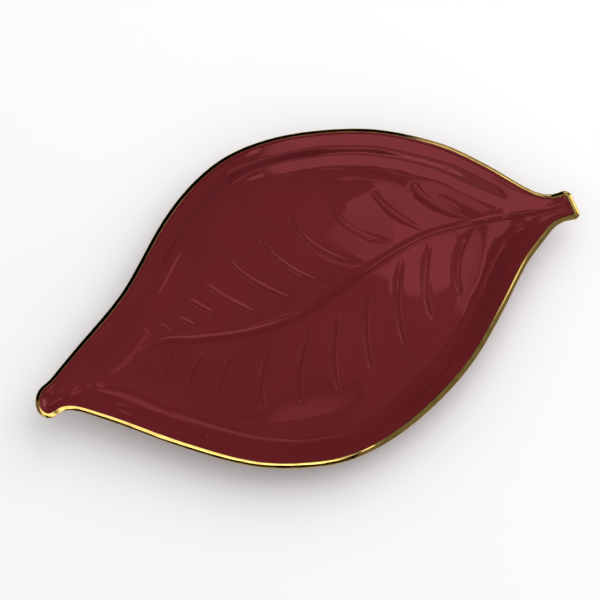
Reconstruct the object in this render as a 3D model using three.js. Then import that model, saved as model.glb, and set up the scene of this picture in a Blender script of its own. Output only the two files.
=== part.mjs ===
// Leaf-shaped ceramic tray: a pressed clay leaf with incised veins, a glaze coat and a gold lip.
// Millimetres, +Z up. The leaf lies along X, with its tip at -X and its stem at +X.
// Every skin is an offset of one curved sheet, so clay, glaze and gold share their faces exactly.
import * as THREE from 'three';
import { mergeVertices } from 'three/addons/utils/BufferGeometryUtils.js';

// Finished size of the leaf
const LEAF_LENGTH = 300;
const LEAF_WIDTH = 180;
const TIP_WIDTH = 17;
const TIP_ROUND = 6;
const STEM_WIDTH = 17;
const STEM_CORNER = 2.2;

// Heights above the table
const FOOT_HEIGHT = 3;
const LIP_HEIGHT = 20;
const TIP_LIFT = 4;
const STEM_LIFT = 3;
const LIFT_LENGTH = 80;

// Clay section, and how far the lip leans out from upright, in degrees
const FLOOR_THICKNESS = 4.4;
const LIP_THICKNESS = 1.8;
const LIP_LEAN = 25;
const WALL_RUN = 18;

// Coats on the clay, and how far in from the lip the gold reaches on each side
const GLAZE_THICKNESS = 0.3;
const GOLD_THICKNESS = 0.2;
const GOLD_INSIDE = 0.7;
const GOLD_OUTSIDE = 1.35;

// Oval foot ring under the blade, with a bare line between it and the glaze
const FOOT_LENGTH = 140;
const FOOT_WIDTH = 104;
const FOOT_RING_WIDTH = 6;
const FOOT_CHAMFER = 1.2;
const FOOT_FROM_TIP = 160;
const BARE_LINE = 1;

// Grooves pressed into the floor, and the glaze that pools in them
const VEIN_WIDTH = 2.6;
const VEIN_DEPTH = 0.9;
const MIDRIB_WIDTH = 3.4;
const MIDRIB_DEPTH = 1.1;
const GLAZE_POOL = 0.15;

// Leaf shape from the tip at 0 to the stem at 1.
// Blade: share of the way from the end widths to the full width.
const BLADE = [
  [0, 0], [0.04, 0.012], [0.1, 0.155], [0.2, 0.43], [0.32, 0.785], [0.42, 0.96], [0.5, 1],
  [0.6, 0.94], [0.72, 0.762], [0.82, 0.494], [0.893, 0.228], [0.947, 0.033], [0.973, -0.006], [1, 0],
];
// Wall: share of its rise, from the floor at 0 to the lip at 1. It is steepest past half way.
const WALL = [[0, 0], [0.2, 0.062], [0.35, 0.167], [0.525, 0.363], [0.75, 0.731], [1, 1]];
// Centre line and midrib: sideways place as a share of the length.
const CENTRE = [
  [0, -0.01], [0.05, 0.005], [0.1, 0.003], [0.22, -0.009], [0.4, 0.011],
  [0.66, 0.032], [0.82, 0.0445], [0.88, 0.038], [0.94, 0.015], [1, 0.005],
];
const MIDRIB = [
  [0, -0.01], [0.082, 0.001], [0.147, 0.021], [0.233, 0.045], [0.297, 0.027],
  [0.377, 0.008], [0.44, 0.002], [0.497, 0.0045], [0.597, 0.032], [0.687, 0.055],
  [0.767, 0.0625], [0.864, 0.0465], [0.95, 0.017], [1, 0.009],
];
// Vein pairs from tip to stem: where each leaves the midrib, how far it sweeps towards the tip
// and what share of the way to the edge it reaches, as [left, right].
const VEINS = [
  { station: 0.227, sweeps: [0.014, 0.053], reaches: [0.44, 0.25] },
  { station: 0.272, sweeps: [0.038, 0.072], reaches: [0.34, 0.39] },
  { station: 0.329, sweeps: [0.072, 0.086], reaches: [0.35, 0.475] },
  { station: 0.391, sweeps: [0.095, 0.103], reaches: [0.465, 0.575] },
  { station: 0.444, sweeps: [0.106, 0.085], reaches: [0.515, 0.66] },
  { station: 0.519, sweeps: [0.122, 0.094], reaches: [0.64, 0.65] },
  { station: 0.575, sweeps: [0.109, 0.082], reaches: [0.61, 0.65] },
  { station: 0.638, sweeps: [0.107, 0.076], reaches: [0.64, 0.66] },
  { station: 0.704, sweeps: [0.101, 0.071], reaches: [0.64, 0.65] },
  { station: 0.763, sweeps: [0.075, 0.069], reaches: [0.62, 0.64] },
  { station: 0.852, sweeps: [0.092, 0.091], reaches: [0.64, 0.65] },
];
const VEIN_BEND = 0.6;
const VEIN_START = 0.05;
const VEIN_TAPER = 0.12;
const MIDRIB_FADE = [0.17, 0.3];

// Facets: stations past the veins, rows across the floor and up the wall, steps round lip and foot
const TIP_STATIONS = [0, 0.003, 0.014, 0.036, 0.075, 0.125, 0.18];
const STEM_STATIONS = [0.89, 0.93, 0.957, 0.975];
const CORNER_STATIONS = [1, 0.5, 0.13, 0];
const FLOOR_ROWS = [0.05, 0.14, 0.26, 0.4, 0.54, 0.66];
const WALL_ROWS = [1, 0.66, 0.4, 0.19];
const NARROW_ROWS = [0.3, 0.23, 0.17, 0.11, 0.06];
const UNDER_ROWS = [0, 0.1, 0.24, 0.45, 1];
const LIP_STEPS = 4;
const FOOT_SIDES = 48;

// Half the angle of the foot's oval that faces the stem's end, in degrees
const STEM_FAN = 8.1;

const CLAY = { color: 0xe9dfcf, roughness: 0.85, metalness: 0 };
const BURGUNDY_GLAZE = { color: 0x6a2128, roughness: 0.12, metalness: 0 };
const GOLD_LUSTRE = { color: 0xd8b45a, roughness: 0.22, metalness: 1 };

const LEFT = { sign: 1, index: 0 };
const RIGHT = { sign: -1, index: 1 };
const UP = new THREE.Vector3(0, 0, 1);
const { clamp, degToRad, lerp, smoothstep } = THREE.MathUtils;

// The sheet is the middle of the clay, so it ends half a finished lip inside the leaf.
const FINISHED_LIP = LIP_THICKNESS / 2 + GLAZE_THICKNESS + GOLD_THICKNESS;
const SHEET_LENGTH = LEAF_LENGTH - 2 * FINISHED_LIP;
const SHEET_FLOOR = FOOT_HEIGHT + FLOOR_THICKNESS / 2;
const LIP_RISE = LIP_HEIGHT - FINISHED_LIP - SHEET_FLOOR;
const SLOPE_STEP = 0.01;

// Smooth curve y(x) through a few points.
function curveThrough(points) {
  const last = points.length - 1;
  const slopes = points.map((point, i) => {
    const [x0, y0] = points[Math.max(i - 1, 0)];
    const [x1, y1] = points[Math.min(i + 1, last)];
    return (y1 - y0) / (x1 - x0);
  });
  return (x) => {
    let i = 0;
    while (i < last - 1 && x > points[i + 1][0]) i += 1;
    const [x0, y0] = points[i];
    const [x1, y1] = points[i + 1];
    const t = clamp((x - x0) / (x1 - x0), 0, 1);
    const bend = t * (1 - t) ** 2 * slopes[i] - t * t * (1 - t) * slopes[i + 1];
    return lerp(y0, y1, t * t * (3 - 2 * t)) + (x1 - x0) * bend;
  };
}

const bladeShare = curveThrough(BLADE);
const wallShare = curveThrough(WALL);
const centreShare = curveThrough(CENTRE);
const midribShare = curveThrough(MIDRIB);
const centre = (x) => SHEET_LENGTH * centreShare(x / SHEET_LENGTH);
const midrib = (x) => SHEET_LENGTH * midribShare(x / SHEET_LENGTH);
const edge = (x, side) => centre(x) + side.sign * halfWidth(x);

// Half the sheet's width, with a round nose at the tip and small round corners at the stem's end.
function halfWidth(x) {
  const share = clamp(x / SHEET_LENGTH, 0, 1);
  const atEnds = lerp(TIP_WIDTH, STEM_WIDTH, share) / 2 - FINISHED_LIP;
  const half = lerp(atEnds, LEAF_WIDTH / 2 - FINISHED_LIP, bladeShare(share));
  const nose = clamp(x / TIP_ROUND, 0, 1);
  const corner = clamp(x - SHEET_LENGTH + STEM_CORNER, 0, STEM_CORNER);
  return half * Math.sqrt(nose * (2 - nose)) - STEM_CORNER + Math.sqrt(STEM_CORNER ** 2 - corner ** 2);
}

function slopeOf(curve, x) {
  const low = Math.max(x - SLOPE_STEP, 0);
  const high = Math.min(x + SLOPE_STEP, SHEET_LENGTH);
  return (curve(high) - curve(low)) / (high - low);
}

// Distance in from the lip, eased along the middle so that the narrow ends become round channels.
function lipDistance(x, y) {
  const half = halfWidth(x);
  if (half === 0) return 0;
  const across = (y - centre(x)) / half;
  const square = half / Math.hypot(1, slopeOf(halfWidth, x));
  const fromSide = (square * (1 - across ** 2)) / 2;
  const fromStem = SHEET_LENGTH - x;
  return (fromSide * fromStem) / Math.max(Math.hypot(fromSide, fromStem), SLOPE_STEP);
}

function lipRise(x) {
  const toTip = clamp(1 - x / LIFT_LENGTH, 0, 1);
  const toStem = clamp(1 - (SHEET_LENGTH - x) / LIFT_LENGTH, 0, 1);
  return LIP_RISE + TIP_LIFT * toTip ** 2 + STEM_LIFT * toStem ** 2;
}

function sheetHeight(x, y) {
  const wall = Math.max(1 - lipDistance(x, y) / WALL_RUN, 0);
  return SHEET_FLOOR + lipRise(x) * wallShare(wall);
}

// Level direction out of the leaf at a point of its edge.
function outward(x, y) {
  if (x <= 0) return new THREE.Vector3(-1, 0, 0);
  const side = y > centre(x) ? LEFT : RIGHT;
  const onStemEnd = x >= SHEET_LENGTH && Math.abs(y - edge(x, side)) > SLOPE_STEP;
  if (onStemEnd) return new THREE.Vector3(1, 0, 0);
  const slope = slopeOf((at) => edge(at, side), x);
  return new THREE.Vector3(-side.sign * slope, side.sign, 0).normalize();
}

// A place on the lip: its point, its upward normal, its way out and half the clay's thickness.
function placeOnLip(x, y) {
  const level = outward(x, y);
  const lean = degToRad(LIP_LEAN);
  const out = level.clone().multiplyScalar(Math.sin(lean)).addScaledVector(UP, Math.cos(lean));
  const along = new THREE.Vector3(-level.y, level.x, 0);
  const normal = new THREE.Vector3().crossVectors(out, along);
  const point = new THREE.Vector3(x, y, SHEET_FLOOR + lipRise(x));
  return { point, normal, out, half: LIP_THICKNESS / 2 };
}

// A place on the floor or wall, with the same values but for the way out.
function placeInside(x, y) {
  const slopeX = slopeOf((at) => sheetHeight(at, y), x);
  const slopeY = (sheetHeight(x, y + SLOPE_STEP) - sheetHeight(x, y - SLOPE_STEP)) / (2 * SLOPE_STEP);
  const normal = new THREE.Vector3(-slopeX, -slopeY, 1).normalize();
  const thickening = smoothstep(lipDistance(x, y), 0, WALL_RUN);
  const half = lerp(LIP_THICKNESS, FLOOR_THICKNESS, thickening) / 2;
  return { point: new THREE.Vector3(x, y, sheetHeight(x, y)), normal, half };
}

// Stations along the midrib: three columns to each vein, one between veins, a few past them.
function makeColumns() {
  const firstVein = VEINS[0];
  const lastVein = VEINS.at(-1);
  const thinned = (vein, share) => vein.sweeps.map((sweep) => sweep * share);
  const columns = TIP_STATIONS.map((station) => {
    return { station, sweeps: thinned(firstVein, station / firstVein.station) };
  });
  VEINS.forEach((vein, i) => {
    [-1, 0, 1].forEach((flank) => columns.push({ ...vein, flank }));
    if (vein === lastVein) return;
    const next = VEINS[i + 1];
    const sweeps = vein.sweeps.map((sweep, k) => (sweep + next.sweeps[k]) / 2);
    columns.push({ station: (vein.station + next.station) / 2, sweeps });
  });
  const corner = CORNER_STATIONS.map((share) => 1 - (share * STEM_CORNER) / SHEET_LENGTH);
  [...STEM_STATIONS, ...corner].forEach((station) => {
    const sweeps = thinned(lastVein, (1 - station) / (1 - lastVein.station));
    columns.push({ station, sweeps, gilded: station > corner[0] });
  });
  return columns;
}
const COLUMNS = makeColumns();

// How deep a vein is pressed at a share of the way from the midrib to the edge.
function veinDepth(column, side, across) {
  if (column.flank !== 0) return 0;
  const reach = column.reaches[side.index];
  const starts = smoothstep(across, VEIN_START, VEIN_START + VEIN_TAPER);
  const ends = 1 - smoothstep(across, reach - VEIN_TAPER, reach);
  return VEIN_DEPTH * starts * ends;
}

function midribDepth(x) {
  return MIDRIB_DEPTH * smoothstep(x / SHEET_LENGTH, ...MIDRIB_FADE);
}

// Columns bend towards the tip as the veins do.
function sweptX(column, side, across, flankWidth) {
  const turn = 1 - (1 - Math.min(across / VEIN_BEND, 1)) ** 2;
  const flank = (column.flank ?? 0) * flankWidth;
  return SHEET_LENGTH * (column.station - column.sweeps[side.index] * turn) + flank;
}

// Rows of spots over one half of the upper face, from the midrib to the lip.
function halfLeafRows(side) {
  const row = ({ across, flankWidth = 0, yAt, depthAt = () => 0, atEdge = false }) => {
    return COLUMNS.map((column) => {
      const x = sweptX(column, side, across, flankWidth);
      const onLip = atEdge || column.station === 0 || column.station === 1;
      const y = yAt(x, Math.abs(edge(x, side) - midrib(x)));
      const place = onLip ? placeOnLip(x, y) : placeInside(x, y);
      const depth = onLip ? 0 : depthAt(x, column);
      return { x, y, place, depth, gilded: onLip || column.gilded === true };
    });
  };
  const [innerRow] = FLOOR_ROWS;
  const midribFlank = (x, span) => midrib(x) + side.sign * Math.min(MIDRIB_WIDTH / 2, (span * innerRow) / 2);
  const floorY = (across) => (x, span) => {
    return midrib(x) + side.sign * span * (x < SHEET_LENGTH ? across : innerRow);
  };
  const wallRuns = [...WALL_ROWS.map((share) => share * WALL_RUN), GOLD_INSIDE];
  const wallY = (run, narrow) => (x, span) => {
    const slant = Math.hypot(1, slopeOf((at) => edge(at, side), x));
    return edge(x, side) - side.sign * Math.min(run * slant, narrow * span);
  };
  return [
    row({ across: 0, yAt: midrib, depthAt: midribDepth }),
    row({ across: 0, yAt: midribFlank }),
    ...FLOOR_ROWS.map((across) => row({
      across,
      flankWidth: VEIN_WIDTH / 2,
      yAt: floorY(across),
      depthAt: (x, column) => veinDepth(column, side, across),
    })),
    ...wallRuns.map((run, i) => row({ across: 1, yAt: wallY(run, NARROW_ROWS[i]) })),
    row({ across: 1, yAt: (x) => edge(x, side), atEdge: true }),
  ];
}
const LEFT_ROWS = halfLeafRows(LEFT);
const RIGHT_ROWS = halfLeafRows(RIGHT);

// The lip's spots as a closed loop, counter-clockwise from the tip along the right edge.
function lipLoop() {
  const inRows = [...RIGHT_ROWS.slice(0, -1).reverse(), ...LEFT_ROWS.slice(1, -1)];
  const stemEnd = inRows.map((row) => row.at(-1));
  const loop = [...RIGHT_ROWS.at(-1), ...stemEnd, ...LEFT_ROWS.at(-1).slice(1).reverse()];
  return loop.filter((spot, i) => !spot.place.point.equals(loop.at(i - 1).place.point));
}
const LIP = lipLoop();

// Triangles between neighbouring rows. A closed row joins its end to its start.
function weave(rows, { closed = false, flipped = false } = {}) {
  const triangles = [];
  for (let r = 0; r + 1 < rows.length; r += 1) {
    const count = rows[r].length;
    for (let i = 0; i < (closed ? count : count - 1); i += 1) {
      const next = (i + 1) % count;
      const [a, b, c, d] = [rows[r][i], rows[r][next], rows[r + 1][next], rows[r + 1][i]];
      triangles.push(...(flipped ? [[a, c, b], [a, d, c]] : [[a, b, c], [a, c, d]]));
    }
  }
  return triangles;
}
const turned = (triangles) => triangles.map(([a, b, c]) => [a, c, b]);
const ring = (rows) => weave(rows.map((row) => row.toReversed()), { closed: true });

// Upper face, as triangles of spots and as points at a coat's height above the clay.
const UPPER_FACE = [...weave(LEFT_ROWS), ...weave(RIGHT_ROWS, { flipped: true })];

function upperPoint({ place, depth }, coat) {
  const pooled = coat > 0 ? 1 - GLAZE_POOL : 1;
  const point = place.point.clone().addScaledVector(place.normal, place.half + coat);
  return point.addScaledVector(UP, -depth * pooled);
}

function lipRows(coat) {
  return Array.from({ length: LIP_STEPS + 1 }, (_, step) => LIP.map(({ place }) => {
    const angle = (Math.PI * step) / LIP_STEPS;
    const reach = place.half + coat;
    const point = place.point.clone().addScaledVector(place.normal, reach * Math.cos(angle));
    return point.addScaledVector(place.out, reach * Math.sin(angle));
  }));
}

// The foot's oval, grown or shrunk by a margin.
const FOOT_SIDEWAYS = centre(FOOT_FROM_TIP);
function footOval(angle, margin, z) {
  const x = FOOT_FROM_TIP + (FOOT_LENGTH / 2 + margin) * Math.cos(angle);
  const y = FOOT_SIDEWAYS + (FOOT_WIDTH / 2 + margin) * Math.sin(angle);
  return new THREE.Vector3(x, y, z);
}

// Angle on the oval at the same share of the length as a spot of the lip.
function footAngle(x, y) {
  if (x <= 0) return Math.PI;
  const across = (y - centre(x)) / halfWidth(x);
  return across * Math.acos(Math.cos(degToRad(STEM_FAN)) * ((2 * x) / SHEET_LENGTH - 1));
}

// Rows of the underside, from the gold's lower edge to the bare line round the foot.
function undersideRows(coat) {
  const spots = LIP.map(({ x, y }) => {
    const start = new THREE.Vector3(x, y, 0).addScaledVector(outward(x, y), -GOLD_OUTSIDE);
    return { start, foot: footOval(footAngle(x, y), BARE_LINE, FOOT_HEIGHT - coat) };
  });
  return UNDER_ROWS.map((share) => spots.map(({ start, foot }) => {
    if (share === 1) return foot;
    const place = placeInside(lerp(start.x, foot.x, share), lerp(start.y, foot.y, share));
    return place.point.addScaledVector(place.normal, -place.half - coat);
  }));
}

// Upper face, lip and underside as far as the bare line, at one coat's height above the clay.
function leafSkin(coat) {
  const lip = lipRows(coat);
  const upper = UPPER_FACE.map((face) => face.map((spot) => upperPoint(spot, coat)));
  return [...upper, ...ring([...lip, ...undersideRows(coat)])];
}

function meshOf(name, geometry, finish) {
  const mesh = new THREE.Mesh(geometry, new THREE.MeshStandardMaterial(finish));
  mesh.name = name;
  return mesh;
}

// One closed mesh from triangles of points. Triangles that have closed up to a line are left out.
function wovenMesh(name, triangles, finish) {
  const open = triangles.filter(([a, b, c]) => !(a.equals(b) || b.equals(c) || c.equals(a)));
  const positions = open.flat().flatMap((point) => point.toArray());
  const loose = new THREE.BufferGeometry();
  loose.setAttribute('position', new THREE.Float32BufferAttribute(positions, 3));
  const geometry = mergeVertices(loose);
  geometry.computeVertexNormals();
  return meshOf(name, geometry, finish);
}

// Pressed leaf, flat underneath where the foot is luted on.
function clayBody() {
  const bareLine = undersideRows(0).at(-1);
  const middle = new THREE.Vector3(FOOT_FROM_TIP, FOOT_SIDEWAYS, FOOT_HEIGHT);
  const base = ring([bareLine, bareLine.map(() => middle)]);
  return wovenMesh('clay_body', [...leafSkin(0), ...base], CLAY);
}

// Unglazed foot, tapered towards the face that it stands on.
function footRing() {
  const section = [
    [0, FOOT_HEIGHT],
    [-FOOT_CHAMFER / 2, FOOT_CHAMFER],
    [-FOOT_CHAMFER, 0],
    [FOOT_CHAMFER - FOOT_RING_WIDTH, 0],
    [FOOT_CHAMFER / 2 - FOOT_RING_WIDTH, FOOT_CHAMFER],
    [-FOOT_RING_WIDTH, FOOT_HEIGHT],
  ];
  const rows = section.map(([margin, z]) => Array.from({ length: FOOT_SIDES }, (_, i) => {
    return footOval((2 * Math.PI * i) / FOOT_SIDES, margin, z);
  }));
  return wovenMesh('foot_ring', ring([...rows, rows[0]]), CLAY);
}

// Glaze over the upper face, round the lip and down to the bare line outside the foot.
function glazeCoat() {
  const hem = [undersideRows(GLAZE_THICKNESS).at(-1), undersideRows(0).at(-1)];
  const triangles = [...leafSkin(GLAZE_THICKNESS), ...turned(leafSkin(0)), ...ring(hem)];
  return wovenMesh('glaze_coat', triangles, BURGUNDY_GLAZE);
}

// Glaze inside the foot ring, inside a bare line of its own.
function recessGlaze() {
  const inset = FOOT_RING_WIDTH + BARE_LINE;
  const oval = new THREE.Shape();
  const [reachX, reachY] = [FOOT_LENGTH / 2 - inset, FOOT_WIDTH / 2 - inset];
  oval.absellipse(FOOT_FROM_TIP, FOOT_SIDEWAYS, reachX, reachY, 0, 2 * Math.PI);
  const options = { depth: GLAZE_THICKNESS, bevelEnabled: false, curveSegments: FOOT_SIDES / 2 };
  const geometry = new THREE.ExtrudeGeometry(oval, options);
  geometry.translate(0, 0, FOOT_HEIGHT - GLAZE_THICKNESS);
  return meshOf('recess_glaze', geometry, BURGUNDY_GLAZE);
}

// Gold over the glazed lip, thinning out to nothing at both of its edges.
function goldRim() {
  const gilding = UPPER_FACE.filter((face) => face.some((spot) => spot.gilded));
  const lowerEdge = undersideRows(GLAZE_THICKNESS)[0];
  const band = (coat) => {
    const coatOn = (spot) => (spot.gilded ? coat : GLAZE_THICKNESS);
    const inside = gilding.map((face) => face.map((spot) => upperPoint(spot, coatOn(spot))));
    return [...inside, ...ring([...lipRows(coat), lowerEdge])];
  };
  const outer = band(GLAZE_THICKNESS + GOLD_THICKNESS);
  return wovenMesh('gold_rim', [...outer, ...turned(band(GLAZE_THICKNESS))], GOLD_LUSTRE);
}

// The tray stands with the middle of its outline over the origin.
const tray = new THREE.Group();
tray.add(clayBody(), footRing(), glazeCoat(), recessGlaze(), goldRim());
const middle = new THREE.Box3().setFromObject(tray).getCenter(new THREE.Vector3());
tray.position.set(-middle.x, -middle.y, 0);

export default tray;
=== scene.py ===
"""Leaf-shaped ceramic tray: pressed clay under burgundy glaze, a gold lustre lip and a bare clay foot."""

import math

import bpy
import numpy as np
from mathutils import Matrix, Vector


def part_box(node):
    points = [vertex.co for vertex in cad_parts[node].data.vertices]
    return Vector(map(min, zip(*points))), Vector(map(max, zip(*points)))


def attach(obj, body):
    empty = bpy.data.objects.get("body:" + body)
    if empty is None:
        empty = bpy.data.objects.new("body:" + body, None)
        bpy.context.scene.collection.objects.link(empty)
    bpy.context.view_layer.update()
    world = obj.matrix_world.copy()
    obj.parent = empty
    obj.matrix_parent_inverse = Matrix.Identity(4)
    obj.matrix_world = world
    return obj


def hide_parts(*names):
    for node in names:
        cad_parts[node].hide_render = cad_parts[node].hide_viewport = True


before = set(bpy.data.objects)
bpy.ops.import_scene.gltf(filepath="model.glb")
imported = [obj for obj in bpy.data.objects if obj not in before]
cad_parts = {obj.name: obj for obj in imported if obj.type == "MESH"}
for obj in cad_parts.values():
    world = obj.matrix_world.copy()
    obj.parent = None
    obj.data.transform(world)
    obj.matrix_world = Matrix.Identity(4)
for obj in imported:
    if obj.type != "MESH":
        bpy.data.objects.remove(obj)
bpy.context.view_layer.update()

MM = 0.001
TINY = 1e-9

# Finished size of the leaf, in millimetres
LEAF_LENGTH = 300
LEAF_WIDTH = 180
TIP_WIDTH = 17
TIP_ROUND = 6
STEM_WIDTH = 17
STEM_CORNER = 2.2

# Heights above the table
LIP_HEIGHT = 20
TIP_LIFT = 4
STEM_LIFT = 3
LIFT_LENGTH = 80

# Clay section. The lip leans out, has small corners and a slight crown on its end,
# and swells on its inner face along the left side.
FLOOR_THICKNESS = 4.4
LIP_THICKNESS = 2.2
LIP_LEAN = math.radians(28)
LIP_CORNER = 0.08
LIP_CROWN = 0.1
LIP_SWELL = 0.9
LIP_SWELL_FADE = 40
WALL_RUN = 18

# Glaze. It rounds the lip's corners by a share of its thickness, and pools in the grooves
# by a share of their depth.
GLAZE_THICKNESS = 0.3
GLAZE_HEM = 0.8
GLAZE_UNEVENNESS = 0.12
GLAZE_PATCH = 18
GLAZE_POOL = 0.15
CORNER_GROWTH = 0.25

# Gold. It is sunk a little, so that its thin edges are clean lines on the glaze. Its reach is measured
# along the surface from the middle of the lip's end, and drifts inwards along the right side.
GOLD_THICKNESS = 0.06
GOLD_SUNK = 0.14
GOLD_INSIDE = 1.15
GOLD_DRIFT = 0.35
GOLD_OUTSIDE = 3
GOLD_STEM = 2.6
GOLD_STEM_LENGTH = 14
GOLD_HEM = 0.15
GOLD_UNEVENNESS = 0.15
GOLD_PATCH = 5
# Wavering of the gold's brushed edges: height, waves round the lip, and a phase for each edge
GOLD_WAVER = 0.12
WAVER_TURNS = (7, 13, 29)
INNER_WAVER = 0.6
OUTER_WAVER = 2.2

# Seeds of the coats' unevenness
GLAZE_SEED = 3.0
RECESS_SEED = 5.0
GOLD_SEED = 8.0

# Foot ring, and the bare line on each side of it
FOOT_FROM_TIP = 160
FOOT_RING_WIDTH = 6
FOOT_CHAMFER = 1.2
FOOT_ROUND = 0.5
BARE_LINE = 1

# Grooves pressed into the floor, with a level floor over a share of their width
VEIN_WIDTH = 3.2
VEIN_DEPTH = 0.7
MIDRIB_WIDTH = 4
MIDRIB_DEPTH = 0.85
GROOVE_FLOOR = 0.4

# Slow waves left by hand pressing: length, turn in degrees and phase of each. They are higher on the wall.
RIPPLES = [(58, 20, 0.4), (41, 75, 1.9), (33, 130, 3.1), (26, 165, 5.0)]
RIPPLE_HEIGHT = 0.025
WALL_RIPPLE = 0.06
RIPPLE_FADE = 6

# Leaf shape from the tip at 0 to the stem at 1.
# Blade: share of the way from the end widths to the full width.
BLADE = [
    (0, 0), (0.04, 0.012), (0.1, 0.155), (0.2, 0.43), (0.32, 0.785), (0.42, 0.96), (0.5, 1),
    (0.6, 0.94), (0.72, 0.762), (0.82, 0.494), (0.893, 0.228), (0.947, 0.033), (0.973, -0.006), (1, 0),
]
# Wall: share of its rise, from the floor at 0 to the lip at 1. It leaves the floor gently, steepens,
# and flares at the lip.
WALL = [(0, 0), (0.2, 0.062), (0.35, 0.167), (0.525, 0.363), (0.75, 0.731), (1, 1)]
# Centre line and midrib: sideways place as a share of the length.
CENTRE = [
    (0, -0.01), (0.05, 0.005), (0.1, 0.003), (0.22, -0.009), (0.4, 0.011),
    (0.66, 0.032), (0.82, 0.0445), (0.88, 0.038), (0.94, 0.015), (1, 0.005),
]
MIDRIB = [
    (0, -0.01), (0.082, 0.001), (0.147, 0.021), (0.233, 0.045), (0.297, 0.027), (0.377, 0.008),
    (0.44, 0.002), (0.497, 0.0045), (0.597, 0.032), (0.687, 0.055), (0.767, 0.0625), (0.864, 0.0465),
    (0.95, 0.017), (1, 0.009),
]
# Vein pairs from tip to stem: where each leaves the midrib, how far it sweeps towards the tip
# on the left and right, and what share of the way to the edge it reaches on each side.
VEINS = [
    (0.227, (0.014, 0.053), (0.44, 0.25)),
    (0.272, (0.038, 0.072), (0.34, 0.39)),
    (0.329, (0.072, 0.086), (0.35, 0.475)),
    (0.391, (0.095, 0.103), (0.465, 0.575)),
    (0.444, (0.106, 0.085), (0.515, 0.66)),
    (0.519, (0.122, 0.094), (0.64, 0.65)),
    (0.575, (0.109, 0.082), (0.61, 0.65)),
    (0.638, (0.107, 0.076), (0.64, 0.66)),
    (0.704, (0.101, 0.071), (0.64, 0.65)),
    (0.763, (0.075, 0.069), (0.62, 0.64)),
    (0.852, (0.092, 0.091), (0.64, 0.65)),
]
VEIN_BEND = 0.6
VEIN_START = 0.05
# Pairs near the tip start further out, at these shares of the way to the edge on the left and right.
TIP_VEIN_STARTS = [(0.08, 0.1), (0.06, 0.05), (0.1, 0.05), (0.15, 0.05)]
VEIN_TAPER = 0.15
VEIN_END = 0.12
VEIN_GROWTH = (0.1, 0.5)
FINEST_VEIN = 0.45
MIDRIB_FADE = (0.17, 0.3)

# Mesh: columns along the leaf crowd round the veins, rows across it crowd at midrib and lip
COLUMN_STEP = 2.6
VEIN_COLUMN_STEP = 0.33
VEIN_CROWD = 1.8
FINE_STEPS = 20
MIDRIB_ROWS = (0, 0.45, 0.9, 1.4, 2)
MIDRIB_SPREAD = 1.2
FLOOR_ROWS = np.linspace(0.05, 0.66, 36)
WALL_ROWS = np.linspace(1, 0, 18)[:-1] ** 1.15
NARROW_WALL = 0.3
NARROW_CURVE = 0.75
NOSE_STEPS = 12
CORNER_STEPS = 7
LIP_CORNER_STEPS = 5
LIP_END_ROWS = (0.85, 0.4, 0, -0.4, -0.85)
GOLD_ROWS = np.linspace(0, 1, 41)
STEM_LAP = (2.4, 1.9, 1.4, 0.9, 0.5, 0.22)
UNDER_RUNS = (0.45, 0.9, 1.35)
UNDER_LAP = (0.4, 0.8, 1.2, 1.6, 2)
UNDER_ROWS = np.linspace(0, 1, 15) ** 1.3
RECESS_ROWS = (0.75, 0.4, 0)
STEM_FAN = math.radians(8.1)
FOOT_STEPS = 160
FOOT_ROUND_STEPS = 5
LINE_STEP = 0.3
SLOPE_STEP = 0.01
POINT_DECIMALS = 4
JOIN_DISTANCE = 1e-4
CREASE_ANGLE = math.radians(50)

LEFT, RIGHT = 1, -1
UP = np.array([0.0, 0.0, 1.0])
BARE, GLAZED, RECESS = 0, 1, 2

# Finishes: sizes of their patterns in millimetres, a pair being the length and height of a bump
GLAZE_CLOUD = 45
GLAZE_GLOSS = 12
GLAZE_WAVE = (22, 0.06)
GLAZE_PEEL = (2.4, 0.004)
GOLD_THIN = 6
GOLD_GLOSS = 4
GOLD_BRUSH = (3, 0.015)
CLAY_CLOUD = 14
CLAY_SPECK = 3
CLAY_DRYNESS = 5
# Coarser than the real grain, so that it shows
CLAY_GRAIN = (0.6, 0.06)
TABLE_CLOUD = 300
# Finishes: least and most roughness, and other shares
GLAZE_ROUGHNESS = (0.035, 0.07)
GLAZE_IOR = 1.5
POOL_DARKENING = 0.3
GOLD_ROUGHNESS = (0.05, 0.13)
CLAY_ROUGHNESS = (0.8, 0.95)
SPECK_STRENGTH = 0.8
TABLE_ROUGHNESS = 0.9
# Spans of a pattern's values that are spread over its levels
NOISE_SPAN = {"From Min": 0.3, "From Max": 0.7}
THIN_SPAN = {"From Min": 0.45, "From Max": 0.7}
SPECK_SPAN = {"From Min": 0.06, "From Max": 0.12}

# Camera at the photograph's angle: metres and degrees, with its lens and sensor in millimetres
PHOTO_SIZE = 600
VIEW_AZIMUTH = -21.3
VIEW_ELEVATION = 70
VIEW_DISTANCE = 1.1
VIEW_TARGET = Vector((0, 0, 0.006))
VIEW_LENS = 125.6
VIEW_SENSOR = 36
VIEW_NEAREST = 0.01
VIEW_SHIFT = (-6.5 / PHOTO_SIZE, 4.2 / PHOTO_SIZE)

# Studio, in metres and degrees. Azimuths go round from the stem towards the left side.
TABLE_REACH = 4
SKY_LIGHT = 0.69
# Soft lamps: azimuth, elevation, distance, size and watts
SOFT_LAMPS = [("key_lamp", 22, 48, 1.5, 2, 10.5), ("overhead_lamp", 250, 80, 1.7, 1.6, 2.4)]
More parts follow.
